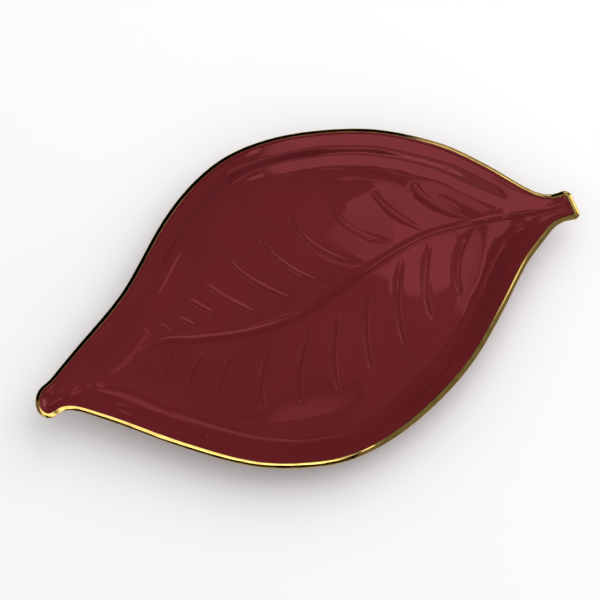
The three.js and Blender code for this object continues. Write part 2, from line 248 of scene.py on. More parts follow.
# Key softbox, level above the left side towards the stem: each corner's place and share of the glow
KEY_HEIGHT = 0.3
KEY_STRENGTH = 1.8
KEY_SOFTBOX = [
    (0.1, 0.17, 1), (0.092, 0.155, 1), (0.08, 0.148, 0.55), (0.07, 0.138, 0.55), (0.071, 0.124, 0.55),
    (0.083, 0.11, 1), (0.091, 0.103, 1), (0.095, 0.095, 1), (0.102, 0.088, 1), (0.107, 0.08, 1),
    (0.128, 0.075, 1), (0.142, 0.08, 1), (0.152, 0.088, 1), (0.152, 0.112, 1), (0.145, 0.16, 1),
]
# What else the glaze and gold reflect. A flag is black.
# Panels on a dome: azimuths, elevations, strength, share that fades at the edges, and distance.
FAR_PANELS = [
    ("right_softbox", (-15, 27), (0, 26), 2.6, 0.2, 2.4),
    ("ceiling", (108, 154), (54, 68), 1.7, 0.15, 2.4),
]
NEAR_PANELS = [
    ("left_softbox", (158, 285), (31.5, 76), 2.5, 0.1, 0.55),
    ("front_strip", (283, 290), (48, 60), 2.6, 0.1, 0.5),
    ("gold_strip", (338, 350), (37, 47), 2.2, 0.1, 0.5),
    ("stem_strip", (8, 28), (34, 48), 2.4, 0.1, 0.5),
    ("stem_glow", (30, 54), (0, 12), 0.5, 0.1, 0.5),
    ("stem_line", (30, 54), (12.5, 17), 2.6, 0.1, 0.5),
    ("far_flag", (36, 104), (0, 61), 0, 0.2, 0.52),
    ("left_flag", (104, 150), (0, 37), 0, 0.2, 0.52),
    ("front_card", (190, 300), (22, 33), 1.3, 0, 0.56),
    ("front_flag", (190, 300), (0, 22), 0, 0.2, 0.57),
]
SURROUND = ("dim_surround", (0, 360), (0, 90), 0.28, 0, 3)
# Level cards: left, right, far right and far left corner, height, strength, and share that fades.
LEVEL_CARDS = [
    ("overhead_card", [(-0.04, -0.02), (0.05, -0.02), (0.05, 0.04), (-0.04, 0.04)], 0.3, 1.1, 0.3),
    ("rim_card", [(-0.175, -0.096), (-0.005, -0.156), (-0.005, -0.134), (-0.175, -0.074)], 0.1, 3.8, 0.1),
    ("near_glow", [(0.03, 0.17), (0.22, 0.17), (0.3, 0.42), (0.03, 0.42)], 0.3, 1.3, 0.4),
    ("vein_card", [(-0.15, 0.25), (-0.05, 0.25), (-0.06, 0.43), (-0.19, 0.43)], 0.3, 1.8, 0.1),
    ("line_card", [(0.058, 0.022), (0.076, 0.022), (0.096, 0.062), (0.08, 0.062)], 0.1, 1.8, 0),
    ("rim_shade", [(0.01, -0.225), (0.1, -0.26), (0.1, -0.155), (0.01, -0.14)], 0.101, 0.25, 0),
    ("far_shade", [(0, 0.078), (0.075, 0.082), (0.075, 0.105), (0, 0.105)], 0.1, 0.28, 0),
    ("rim_flag", [(-0.22, -0.15), (0.01, -0.225), (0.01, -0.14), (-0.22, -0.06)], 0.101, 0, 0),
]
PANEL_STEPS = 24

# The sheet is the middle of the clay, so it ends half a finished lip inside the leaf.
foot_low, foot_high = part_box("foot_ring")
FOOT_LENGTH = (foot_high.x - foot_low.x) / MM
FOOT_WIDTH = (foot_high.y - foot_low.y) / MM
FOOT_HEIGHT = (foot_high.z - foot_low.z) / MM
FINISHED_LIP = LIP_THICKNESS / 2 + GLAZE_THICKNESS + GOLD_THICKNESS
SHEET_LENGTH = LEAF_LENGTH - 2 * FINISHED_LIP
SHEET_FLOOR = FOOT_HEIGHT + FLOOR_THICKNESS / 2
LIP_RISE = LIP_HEIGHT - FINISHED_LIP - SHEET_FLOOR


def smoothstep(value, low, high):
    t = np.clip((value - low) / (high - low), 0, 1)
    return t * t * (3 - 2 * t)


def unit(vectors):
    return vectors / np.linalg.norm(vectors, axis=-1, keepdims=True)


def in_scene(name, data):
    """A new object, linked into the scene."""
    made = bpy.data.objects.new(name, data)
    bpy.context.scene.collection.objects.link(made)
    return made


def curve_through(points):
    """Smooth curve y(x) through a few points."""
    xs, ys = np.array(points, float).T
    before, after = np.r_[0, np.arange(len(xs) - 1)], np.r_[np.arange(1, len(xs)), len(xs) - 1]
    slopes = (ys[after] - ys[before]) / (xs[after] - xs[before])

    def curve(x):
        i = np.clip(np.searchsorted(xs, x) - 1, 0, len(xs) - 2)
        width = xs[i + 1] - xs[i]
        t = np.clip((x - xs[i]) / width, 0, 1)
        bend = t * (1 - t) ** 2 * slopes[i] - t * t * (1 - t) * slopes[i + 1]
        return ys[i] + (ys[i + 1] - ys[i]) * t * t * (3 - 2 * t) + width * bend

    return curve


blade_share = curve_through(BLADE)
wall_share = curve_through(WALL)
centre_share = curve_through(CENTRE)
midrib_share = curve_through(MIDRIB)


# The leaf's sheet, from the tip at x = 0
def centre(x):
    return SHEET_LENGTH * centre_share(x / SHEET_LENGTH)


def midrib(x):
    return SHEET_LENGTH * midrib_share(x / SHEET_LENGTH)


def half_width(x):
    """Half the sheet's width, with a round nose at the tip and small round corners at the stem's end."""
    share = np.clip(x / SHEET_LENGTH, 0, 1)
    at_ends = (TIP_WIDTH + (STEM_WIDTH - TIP_WIDTH) * share) / 2 - FINISHED_LIP
    half = at_ends + (LEAF_WIDTH / 2 - FINISHED_LIP - at_ends) * blade_share(share)
    nose = np.clip(x / TIP_ROUND, 0, 1)
    corner = np.clip(x - SHEET_LENGTH + STEM_CORNER, 0, STEM_CORNER)
    return half * np.sqrt(nose * (2 - nose)) - STEM_CORNER + np.sqrt(STEM_CORNER**2 - corner**2)


def edge(x, side):
    return centre(x) + side * half_width(x)


def half_span(x, side):
    """Distance across the leaf from the midrib to one edge."""
    return np.abs(edge(x, side) - midrib(x))


def slope_of(curve, x):
    low, high = np.maximum(x - SLOPE_STEP, 0), np.minimum(x + SLOPE_STEP, SHEET_LENGTH)
    return (curve(high) - curve(low)) / (high - low)


def lip_distance(x, y):
    """Distance in from the lip, eased along the middle so that the narrow ends become round channels."""
    half = np.maximum(half_width(x), TINY)
    across = (y - centre(x)) / half
    from_side = half / np.hypot(1, slope_of(half_width, x)) * (1 - across**2) / 2
    from_stem = SHEET_LENGTH - x
    return from_side * from_stem / np.maximum(np.hypot(from_side, from_stem), SLOPE_STEP)


def lip_rise(x):
    to_tip = np.clip(1 - x / LIFT_LENGTH, 0, 1)
    to_stem = np.clip(1 - (SHEET_LENGTH - x) / LIFT_LENGTH, 0, 1)
    return LIP_RISE + TIP_LIFT * to_tip**2 + STEM_LIFT * to_stem**2


def sheet_height(x, y):
    return SHEET_FLOOR + lip_rise(x) * wall_share(np.maximum(1 - lip_distance(x, y) / WALL_RUN, 0))


def outward(x, side):
    """Level direction out of the leaf at its edge."""
    slope = slope_of(lambda at: edge(at, side), x)
    level = unit(np.stack([-side * slope, side + 0 * x, 0 * x], -1))
    level[x <= 0] = (-1, 0, 0)
    return level


def lip_swell(x, y):
    """How much fuller the lip is on its inner face: along the left side only, and less towards both ends."""
    across = (y - centre(x)) / np.maximum(half_width(x), TINY)
    from_ends = smoothstep(x, 0, LIP_SWELL_FADE) * smoothstep(SHEET_LENGTH - x, 0, LIP_SWELL_FADE)
    on_wall = 1 - smoothstep(lip_distance(x, y), 0, WALL_RUN)
    return LIP_SWELL * smoothstep(across, 0, 1) * from_ends * on_wall


def place_on_lip(x, y, level):
    """Point, upward normal and way out of the sheet at its lip, and how far its inner face is from there."""
    out = level * math.sin(LIP_LEAN) + UP * math.cos(LIP_LEAN)
    along = np.stack([-level[..., 1], level[..., 0], 0 * x], -1)
    point = np.stack([x, y, SHEET_FLOOR + lip_rise(x)], -1)
    return point, np.cross(out, along), out, LIP_THICKNESS / 2 + lip_swell(x, y)


def place_inside(x, y):
    """Point and upward normal of the sheet on the floor or wall, and half the clay's thickness."""
    slope_x = slope_of(lambda at: sheet_height(at, y), x)
    slope_y = (sheet_height(x, y + SLOPE_STEP) - sheet_height(x, y - SLOPE_STEP)) / (2 * SLOPE_STEP)
    normal = unit(np.stack([-slope_x, -slope_y, np.ones_like(x)], -1))
    thickening = smoothstep(lip_distance(x, y), 0, WALL_RUN)
    half = (LIP_THICKNESS + (FLOOR_THICKNESS - LIP_THICKNESS) * thickening) / 2
    return np.stack([x, y, sheet_height(x, y)], -1), normal, half


def ripple(x, y):
    """Height of the slow waves, which are higher on the wall and fade out towards the lip."""
    waves = 0
    for length, turn, phase in RIPPLES:
        along = x * math.cos(math.radians(turn)) + y * math.sin(math.radians(turn))
        waves = waves + np.sin(2 * math.pi * along / length + phase)
    distance = lip_distance(x, y)
    on_wall = 1 - smoothstep(distance, WALL_RUN / 2, WALL_RUN)
    return (RIPPLE_HEIGHT + WALL_RIPPLE * on_wall) * waves * smoothstep(distance, 0, RIPPLE_FADE)


def upper_point(x, y, coat):
    point, normal, half = place_inside(x, y)
    return point + normal * (half + coat + lip_swell(x, y))[..., None] + ripple(x, y)[..., None] * UP


def under_point(x, y, coat):
    point, normal, half = place_inside(x, y)
    return point - normal * (half + coat)[..., None]


# Columns and rows of the leaf
VEIN_STATIONS = np.array([station for station, _, _ in VEINS])
COLUMN_KNOTS = np.r_[0, VEIN_STATIONS, 1]


def sweep_at(station, side):
    """How far a column sweeps towards the tip, from the veins on its two sides."""
    index = 0 if side == LEFT else 1
    return np.interp(station, COLUMN_KNOTS, [0, *(sweeps[index] for _, sweeps, _ in VEINS), 0])


def swept_x(station, side, across):
    turn = 1 - (1 - np.minimum(across / VEIN_BEND, 1)) ** 2
    return SHEET_LENGTH * (station - sweep_at(station, side) * turn)


def column_stations():
    """Stations of the columns: round the nose, crowded at the veins, and round the stem's corners."""
    first, last = TIP_ROUND, SHEET_LENGTH - STEM_CORNER
    fine = np.linspace(first, last, FINE_STEPS * int(last - first))
    from_veins = np.abs(fine[:, None] - SHEET_LENGTH * VEIN_STATIONS)
    near = np.exp(-((from_veins / VEIN_WIDTH * VEIN_CROWD) ** 4)).sum(1)
    density = 1 / COLUMN_STEP + (1 / VEIN_COLUMN_STEP - 1 / COLUMN_STEP) * near
    counted = np.r_[0, np.cumsum((density[1:] + density[:-1]) / 2 * np.diff(fine))]
    middle = np.interp(np.linspace(0, counted[-1], int(counted[-1])), counted, fine)
    nose = first * (1 - np.cos(np.linspace(0, math.pi / 2, NOSE_STEPS, endpoint=False)))
    corner = last + STEM_CORNER * np.sin(np.linspace(0, math.pi / 2, CORNER_STEPS))[1:]
    return np.r_[nose, middle, corner] / SHEET_LENGTH


STATIONS = column_stations()


def half_leaf(side):
    """Grid of sheet places over one half of the upper face, from the midrib out to the lip."""
    grid = []
    for distance in MIDRIB_ROWS:
        x = swept_x(STATIONS, side, 0)
        span = half_span(x, side)
        offset = np.minimum(distance, span * FLOOR_ROWS[0] * distance / (MIDRIB_ROWS[-1] * MIDRIB_SPREAD))
        grid.append((x, midrib(x) + side * offset))
    for across in FLOOR_ROWS:
        x = swept_x(STATIONS, side, across)
        grid.append((x, midrib(x) + side * across * half_span(x, side)))
    x = swept_x(STATIONS, side, 1)
    span = half_span(x, side)
    slant = np.hypot(1, slope_of(lambda at: edge(at, side), x))
    for share in WALL_ROWS:
        inset = np.minimum(WALL_RUN * share * slant, NARROW_WALL * share**NARROW_CURVE * span)
        grid.append((x, edge(x, side) - side * inset))
    grid.append((x, edge(x, side)))
    return np.array([row[0] for row in grid]), np.array([row[1] for row in grid])


HALVES = {side: half_leaf(side) for side in (LEFT, RIGHT)}


def lip_loop():
    """The lip counter-clockwise from the tip, as arrays of x, y and the level way out."""
    right_x, left_x = HALVES[RIGHT][0], HALVES[LEFT][0]
    x, y = (
        np.r_[right[-1], right[-2:0:-1, -1], left[:-1, -1], left[-1, :0:-1]]
        for right, left in zip(HALVES[RIGHT], HALVES[LEFT])
    )
    level = np.concatenate([
        outward(right_x[-1], RIGHT),
        np.tile([1.0, 0, 0], (len(right_x) - 2 + len(left_x) - 1, 1)),
        outward(left_x[-1], LEFT)[:0:-1],
    ])
    return x, y, level


LIP_X, LIP_Y, LIP_OUT = lip_loop()


def inside_lip(run):
    """Places all round the sheet, this far in from the lip."""
    return LIP_X - LIP_OUT[:, 0] * run, LIP_Y - LIP_OUT[:, 1] * run


def foot_oval(angle, margin):
    x = FOOT_FROM_TIP + (FOOT_LENGTH / 2 + margin) * np.cos(angle)
    y = centre(FOOT_FROM_TIP) + (FOOT_WIDTH / 2 + margin) * np.sin(angle)
    return x, y


def foot_row(angles, margin):
    """Row on the flat base round the foot's oval, this far outside it."""
    return np.stack([*foot_oval(angles, margin), np.full(angles.shape, FOOT_HEIGHT)], -1)


def lip_foot_angles():
    """Angle on the foot's oval at the same share of the length as each point of the lip."""
    across = (LIP_Y - centre(LIP_X)) / np.maximum(half_width(LIP_X), TINY)
    angles = across * np.arccos(math.cos(STEM_FAN) * (2 * LIP_X / SHEET_LENGTH - 1))
    angles[LIP_X <= 0] = -math.pi
    return angles


# The leaf stands where the solids stand: the foot's middle is the same point in both.
PLACE = np.array([
    (foot_low.x + foot_high.x) / 2 / MM - FOOT_FROM_TIP,
    (foot_low.y + foot_high.y) / 2 / MM - centre(np.array([FOOT_FROM_TIP]))[0],
    0,
])


# Skins
class Skin:
    """Points, faces and named values of a mesh that is woven from rows of points."""

    def __init__(self, *values):
        self.points, self.faces, self.patches, self.count = [], [], [], 0
        self.values = {name: [] for name in values}

    def weave(self, rows, patch, closed=False, turned=False, **values):
        """Adds quads between neighbouring rows. A closed row joins its end to its start."""
        rows = np.asarray(rows, float)
        height, width = rows.shape[:2]
        index = self.count + np.arange(height * width).reshape(height, width)
        index = np.concatenate([index, index[:, :1]], 1) if closed else index
        quads = np.stack([index[:-1, :-1], index[:-1, 1:], index[1:, 1:], index[1:, :-1]], -1).reshape(-1, 4)
        self.faces.append(quads[:, ::-1] if turned else quads)
        self.patches.append(np.full(len(quads), patch))
        self.points.append(rows.reshape(-1, 3))
        self.count += height * width
        for name, rows_of in self.values.items():
            rows_of.append(np.broadcast_to(values.get(name, 0), (height, width)).ravel())

    def mesh(self, name):
        """One mesh with its shared points joined and its closed-up faces left out."""
        points = np.concatenate(self.points)
        rounded = points.round(POINT_DECIMALS)
        _, kept, place_of = np.unique(rounded, axis=0, return_index=True, return_inverse=True)
        quads = place_of.ravel()[np.concatenate(self.faces)].tolist()
        faces, patches = [], []
        for quad, patch in zip(quads, np.concatenate(self.patches)):
            corners = [corner for i, corner in enumerate(quad) if corner != quad[i - 1]]
            if len(set(corners)) > 2:
                faces.append(corners)
                patches.append(patch)
        mesh = bpy.data.meshes.new(name)
        mesh.from_pydata((points[kept] + PLACE) * MM, [], faces)
        for value, rows in self.values.items():
            numbers = np.concatenate(rows)[kept]
            mesh.attributes.new(value, "FLOAT", "POINT").data.foreach_set("value", numbers)
        mesh.attributes.new("patch", "INT", "FACE").data.foreach_set("value", np.array(patches, np.int32))
        return mesh


def lip_section(reach, corner):
    """Section of the lip from its inner side, over its crowned end, to its outer side: across it and out."""
    flat = reach - corner
    turns = np.linspace(0, math.pi / 2, LIP_CORNER_STEPS)
    inner = [(flat + corner * math.cos(turn), flat + corner * math.sin(turn)) for turn in turns]
    end = [(flat * share, reach + LIP_CROWN * (1 - share**2)) for share in LIP_END_ROWS]
    outer = [(-across, out) for across, out in reversed(inner)]
    return [(reach, 0), *inner, *end, *outer, (-reach, 0)]


def lip_rows(coat):
    """Rows round the lip from its inner side to its outer side."""
    point, normal, out, inner = place_on_lip(LIP_X, LIP_Y, LIP_OUT)
    reach = LIP_THICKNESS / 2 + coat
    swell = normal * (inner + coat - reach)[:, None]
    section = lip_section(reach, LIP_CORNER + coat * CORNER_GROWTH)
    return [point + normal * across + swell * (1 + across / reach) / 2 + out * up for across, up in section]


def under_rows(coat, runs):
    """Rows on the outside, each this far in from the lip."""
    return [under_point(*inside_lip(run), coat) for run in runs]


def weave_upper_face(skin):
    """Floor and wall on both sides of the midrib. Points on the lip follow its lean and are never grooved."""
    for side, (x, y) in HALVES.items():
        rows = upper_point(x, y, 0)
        on_lip = np.zeros(x.shape, bool)
        on_lip[-1], on_lip[:, 0], on_lip[:, -1] = True, True, True
        level = np.tile([1.0, 0, 0], (*x.shape, 1))
        level[-1] = outward(x[-1], side)
        level[:, 0] = (-1, 0, 0)
        point, normal, _, inner = place_on_lip(x, y, level)
        rows[on_lip] = (point + normal * inner[..., None])[on_lip]
        skin.weave(rows, GLAZED, turned=side == RIGHT, upper=~on_lip, hem=1)


def weave_outside(skin, foot_angles):
    """Over the lip and down the outside, to the bare line round the foot."""
    start = np.array(inside_lip(UNDER_RUNS[-1]))
    end = np.array(foot_oval(foot_angles, BARE_LINE))
    rows = [*lip_rows(0), *under_rows(0, UNDER_RUNS)]
    rows += [under_point(*(start + (end - start) * share), 0) for share in UNDER_ROWS[1:-1]]
    rows += [foot_row(foot_angles, BARE_LINE + GLAZE_HEM), foot_row(foot_angles, BARE_LINE)]
    hems = np.r_[np.ones(len(rows) - 1), 0][:, None]
    skin.weave(rows, GLAZED, closed=True, turned=True, hem=hems)


def weave_base(skin, foot_angles):
    """The flat base: bare round and under the foot, and glazed in the recess inside it."""
    recess_edge = -FOOT_RING_WIDTH - BARE_LINE
    bare = [foot_row(foot_angles, margin) for margin in (BARE_LINE, 0, -FOOT_RING_WIDTH, recess_edge)]
    skin.weave(bare, BARE, closed=True, turned=True)
    recess = [foot_row(foot_angles, recess_edge), foot_row(foot_angles, recess_edge - GLAZE_HEM)]
    middle = recess[-1].mean(0)
    recess += [middle + (recess[1] - middle) * share for share in RECESS_ROWS]
    hems = np.r_[0, np.ones(len(recess) - 1)][:, None]
    skin.weave(recess, RECESS, closed=True, turned=True, hem=hems)


def clay_skin():
    """The whole leaf: upper face, lip, outside, and the flat base that the foot is luted to."""
    skin = Skin("upper", "hem")
    foot_angles = lip_foot_angles()
    weave_upper_face(skin)
    weave_outside(skin, foot_angles)
    weave_base(skin, foot_angles)
    return skin.mesh("clay_body")


def waver(phase):
    """Slow wandering of a brushed edge round the lip, from -1 to 1."""
    turn = np.linspace(0, 2 * math.pi, len(LIP_X), endpoint=False)
    waves = [np.sin(turns * turn + k * phase) for k, turns in enumerate(WAVER_TURNS, start=1)]
    return sum(waves) / len(waves)


def gold_skin():
    """Strip over the glazed lip that the gold is brushed on. It laps further in round the stem's end."""
    coat = GLAZE_THICKNESS - GOLD_SUNK
    over = lip_rows(coat)[1:]
    section = [upper_point(*inside_lip(run), coat) for run in STEM_LAP] + over
    section = np.array(section + under_rows(coat, UNDER_LAP))
    steps = np.linalg.norm(np.diff(section, axis=0), axis=-1)
    length = np.concatenate([np.zeros((1, len(LIP_X))), np.cumsum(steps, 0)])
    middle = length[len(STEM_LAP) + len(over) // 2 - 1]
    at_stem = smoothstep(LIP_X, SHEET_LENGTH - GOLD_STEM_LENGTH, SHEET_LENGTH - STEM_CORNER)
    drift = GOLD_DRIFT * np.maximum(np.sin(np.linspace(0, 2 * math.pi, len(LIP_X))), 0)
    first = middle - GOLD_INSIDE - (GOLD_STEM - GOLD_INSIDE) * at_stem - drift
    first += GOLD_WAVER * waver(INNER_WAVER)
    last = middle + GOLD_OUTSIDE + GOLD_WAVER * waver(OUTER_WAVER)
    wanted = first + (last - first) * GOLD_ROWS[:, None]
    rows = np.empty((*wanted.shape, 3))
    for point in range(len(LIP_X)):
        for axis in range(3):
            rows[:, point, axis] = np.interp(wanted[:, point], length[:, point], section[:, point, axis])
    hems = smoothstep(wanted - first, 0, GOLD_HEM) * smoothstep(last - wanted, 0, GOLD_HEM)
    skin = Skin("hem")
    skin.weave(rows, GLAZED, closed=True, turned=True, hem=hems)
    return skin.mesh("gold_rim")


# Paths of the grooves
def line_mesh(name, lines):
    """Paths in plan as loose edges, each point with its groove's depth and width."""
    mesh = bpy.data.meshes.new(name)
    points = np.concatenate([line[0] for line in lines])
    starts = np.cumsum([0, *(len(line[0]) for line in lines)])
    edges = [(i, i + 1) for start, end in zip(starts, starts[1:]) for i in range(start, end - 1)]
    mesh.from_pydata((points + PLACE * (1, 1, 0)) * MM, edges, [])
    for k, value in enumerate(("depth", "width"), start=1):
        numbers = np.concatenate([line[k] for line in lines])
        mesh.attributes.new(value, "FLOAT", "POINT").data.foreach_set("value", numbers * MM)
    return in_scene(name, mesh)


def vein_paths():
    """Path, groove depth and groove width of every vein."""
    lines = []
    usual = [(VEIN_START, VEIN_START)] * (len(VEINS) - len(TIP_VEIN_STARTS))
    for (station, _, reaches), starts in zip(VEINS, TIP_VEIN_STARTS + usual):
        for side, start, reach in zip((LEFT, RIGHT), starts, reaches):
            span = half_span(SHEET_LENGTH * np.array([station]), side)[0]
            end = max(reach - VEIN_END, (start + reach) / 2)
            across = np.linspace(start, end, int((end - start) * span / LINE_STEP))
            x = swept_x(station, side, across)
            y = midrib(x) + side * across * half_span(x, side)
            depth = smoothstep(across, start, start + min(VEIN_TAPER, (end - start) / 2))
            size = FINEST_VEIN + (1 - FINEST_VEIN) * smoothstep(station, *VEIN_GROWTH)
            points = np.stack([x, y, 0 * x], -1)
            lines.append((points, VEIN_DEPTH * size * depth, VEIN_WIDTH * size + 0 * x))
    return lines


def midrib_path():
    """Path, groove depth and groove width of the midrib, which fades out before the tip."""
    x = np.linspace(MIDRIB_FADE[0], 1, int(SHEET_LENGTH / LINE_STEP)) * SHEET_LENGTH
    depth = smoothstep(x / SHEET_LENGTH, *MIDRIB_FADE) * smoothstep(SHEET_LENGTH - x, 0, WALL_RUN)
    points = np.stack([x, midrib(x), 0 * x], -1)
    return [(points, MIDRIB_DEPTH * depth, MIDRIB_WIDTH + 0 * x)]


# Node trees
def link(tree, node, links):
    """Gives each of these inputs a socket to follow or a value to hold."""
    for key, value in links.items():
        if isinstance(value, bpy.types.NodeSocket):
            tree.links.new(value, node.inputs[key])
        else:
            node.inputs[key].default_value = value


def add(tree, kind, links=None, **settings):
    """Adds a node with its settings and links."""
    node = tree.nodes.new(kind)
    for name, value in settings.items():
        setattr(node, name, value)
    link(tree, node, links or {})
    return node


def geometry_tree(name, **inputs):
    """An empty Geometry Nodes tree with named inputs, and its input and output nodes."""
    tree = bpy.data.node_groups.new(name, "GeometryNodeTree")
    tree.interface.new_socket("Geometry", in_out="OUTPUT", socket_type="NodeSocketGeometry")
    tree.interface.new_socket("Geometry", in_out="INPUT", socket_type="NodeSocketGeometry")
    for label, kind in inputs.items():
        tree.interface.new_socket(label.replace("_", " "), in_out="INPUT", socket_type="NodeSocket" + kind)
    return tree, add(tree, "NodeGroupInput").outputs, add(tree, "NodeGroupOutput").inputs["Geometry"]


def end_tree(tree, geometry, material, result):
    """Ends a tree with plain geometry in its material."""
    solid = add(tree, "GeometryNodeRealizeInstances", {"Geometry": geometry}).outputs[0]
    finished = add(tree, "GeometryNodeSetMaterial", {"Geometry": solid, "Material": material}).outputs[0]
    tree.links.new(finished, result)


def groove_depth(tree, lines, plan):
    """Depth at each point of the trough along these lines."""
    links = {"Geometry": lines, "Sample Position": plan}
    near = add(tree, "GeometryNodeProximity", links, target_element="EDGES").outputs
    links = {"Geometry": lines, "Sample Position": near["Position"]}
    index = add(tree, "GeometryNodeSampleNearest", links).outputs["Index"]
    sampled = {}
    for value in ("depth", "width"):
        held = add(tree, "GeometryNodeInputNamedAttribute", {"Name": value}).outputs["Attribute"]
        links = {"Geometry": lines, "Value": held, "Index": index}
        sampled[value] = add(tree, "GeometryNodeSampleIndex", links).outputs["Value"]
    half = add(tree, "ShaderNodeMath", {0: sampled["width"], 1: 0.5}, operation="MULTIPLY").outputs[0]
    level = add(tree, "ShaderNodeMath", {0: half, 1: GROOVE_FLOOR}, operation="MULTIPLY").outputs[0]
    links = {"Value": near["Distance"], "From Min": level, "From Max": half, "To Min": 1, "To Max": 0}
    section = add(tree, "ShaderNodeMapRange", links, interpolation_type="SMOOTHSTEP").outputs["Result"]
    links = {0: section, 1: sampled["depth"]}
    return add(tree, "ShaderNodeMath", links, operation="MULTIPLY").outputs[0]


def press_veins_tree():
    """Presses grooves into an upper face along two sets of lines, and keeps their depth as groove."""
    tree, given, result = geometry_tree("press_veins", Veins="Object", Midrib="Object", Material="Material")
    place = add(tree, "GeometryNodeInputPosition").outputs[0]
    apart = add(tree, "ShaderNodeSeparateXYZ", {0: place}).outputs
    plan = add(tree, "ShaderNodeCombineXYZ", {"X": apart["X"], "Y": apart["Y"]}).outputs[0]
    depths = {}
    for k, label in enumerate(("Veins", "Midrib")):
        lines = add(tree, "GeometryNodeObjectInfo", {"Object": given[label]}).outputs["Geometry"]
        depths[k] = groove_depth(tree, lines, plan)
    deepest = add(tree, "ShaderNodeMath", depths, operation="MAXIMUM").outputs[0]
    upper = add(tree, "GeometryNodeInputNamedAttribute", {"Name": "upper"}).outputs["Attribute"]
    depth = add(tree, "ShaderNodeMath", {0: deepest, 1: upper}, operation="MULTIPLY").outputs[0]
    links = {"Geometry": given["Geometry"], "Name": "groove", "Value": depth}
    kept = add(tree, "GeometryNodeStoreNamedAttribute", links, data_type="FLOAT", domain="POINT").outputs[0]
    stored = add(tree, "GeometryNodeInputNamedAttribute", {"Name": "groove"}).outputs["Attribute"]
    down = add(tree, "ShaderNodeMath", {0: stored, 1: -1}, operation="MULTIPLY").outputs[0]
    offset = add(tree, "ShaderNodeCombineXYZ", {"Z": down}).outputs[0]
    pressed = add(tree, "GeometryNodeSetPosition", {"Geometry": kept, "Offset": offset}).outputs[0]
    end_tree(tree, pressed, given["Material"], result)
    return tree


def coat_height(tree, given):
    """Height of a coat at each point: uneven by hand, pooled in grooves, and thin at its hem."""
    place = add(tree, "GeometryNodeInputPosition").outputs[0]
    scale = add(tree, "ShaderNodeMath", {0: 1, 1: given["Patch Size"]}, operation="DIVIDE").outputs[0]
    links = {"Vector": place, "W": given["Seed"], "Scale": scale, "Detail": 1}
    patches = add(tree, "ShaderNodeTexNoise", links, noise_dimensions="4D").outputs["Fac"]
    links = {"Value": patches, **NOISE_SPAN, "To Min": -1, "To Max": 1}
    uneven = add(tree, "ShaderNodeMapRange", links).outputs["Result"]
    links = {0: uneven, 1: given["Unevenness"], 2: 1}
    share = add(tree, "ShaderNodeMath", links, operation="MULTIPLY_ADD").outputs[0]
    groove = add(tree, "GeometryNodeInputNamedAttribute", {"Name": "groove"}).outputs["Attribute"]
    pooled = add(tree, "ShaderNodeMath", {0: groove, 1: given["Pool"]}, operation="MULTIPLY").outputs[0]
    links = {0: share, 1: given["Thickness"], 2: pooled}
    thick = add(tree, "ShaderNodeMath", links, operation="MULTIPLY_ADD").outputs[0]
    hem = add(tree, "GeometryNodeInputNamedAttribute", {"Name": "hem"}).outputs["Attribute"]
    return add(tree, "ShaderNodeMath", {0: thick, 1: hem}, operation="MULTIPLY").outputs[0]


def lay_coat_tree():
    """Lays a closed coat on one patch of a skin."""
    tree, given, result = geometry_tree(
        "lay_coat", Patch="Int", Thickness="Float", Unevenness="Float", Patch_Size="Float", Seed="Float",
        Pool="Float", Material="Material",
    )
    label = add(tree, "GeometryNodeInputNamedAttribute", {"Name": "patch"}, data_type="INT")
    links = {2: label.outputs["Attribute"], 3: given["Patch"]}
    chosen = add(tree, "FunctionNodeCompare", links, data_type="INT", operation="EQUAL").outputs[0]
    links = {"Geometry": given["Geometry"], "Selection": chosen}
    patch = add(tree, "GeometryNodeSeparateGeometry", links, domain="FACE").outputs["Selection"]
    normal = add(tree, "GeometryNodeInputNormal").outputs["Normal"]
    links = {0: normal, "Scale": coat_height(tree, given)}
    offset = add(tree, "ShaderNodeVectorMath", links, operation="SCALE").outputs[0]
    outer = add(tree, "GeometryNodeSetPosition", {"Geometry": patch, "Offset": offset}).outputs[0]
    inner = add(tree, "GeometryNodeFlipFaces", {"Mesh": patch}).outputs[0]
    both = add(tree, "GeometryNodeJoinGeometry", {0: outer})
    tree.links.new(inner, both.inputs[0])
    links = {"Geometry": both.outputs[0], "Distance": JOIN_DISTANCE * MM}
    shell = add(tree, "GeometryNodeMergeByDistance", links).outputs[0]
    end_tree(tree, shell, given["Material"], result)
    return tree


